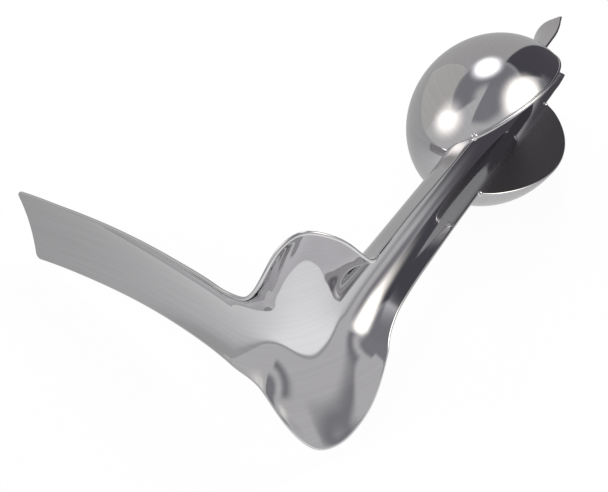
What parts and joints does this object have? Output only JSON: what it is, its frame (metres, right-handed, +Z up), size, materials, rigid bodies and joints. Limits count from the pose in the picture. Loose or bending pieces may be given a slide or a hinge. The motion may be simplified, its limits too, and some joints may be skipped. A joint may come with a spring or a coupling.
{
  "type": "weighted vaginal speculum",
  "caption": "Weighted vaginal speculum: polished steel gutter with blade, winged saddle and trough, and a slotted ball weight around the trough.",
  "frame": {"origin": "centre of the bounding box in plan, on the surface that the part lies on", "axes": "+Z up; the part lies on its side, on the ball, one wing and one corner of the blade; +X runs down the trough from the saddle to the ball and the pouring lip, and +Y is the way the blade points away from the trough"},
  "size_m": [0.2428, 0.1776, 0.0836],
  "materials": {
    "polished_steel": "mirror polished stainless steel",
    "weld_steel": "polished weld",
    "lead": "dull cast lead"
  },
  "bodies": {
    "root": {"gutter_sheet": "polished_steel", "ball_shell_upper": "polished_steel", "ball_shell_lower": "polished_steel", "lead_filling": "lead", "weld_beads": "weld_steel"}
  },
  "joints": []
}
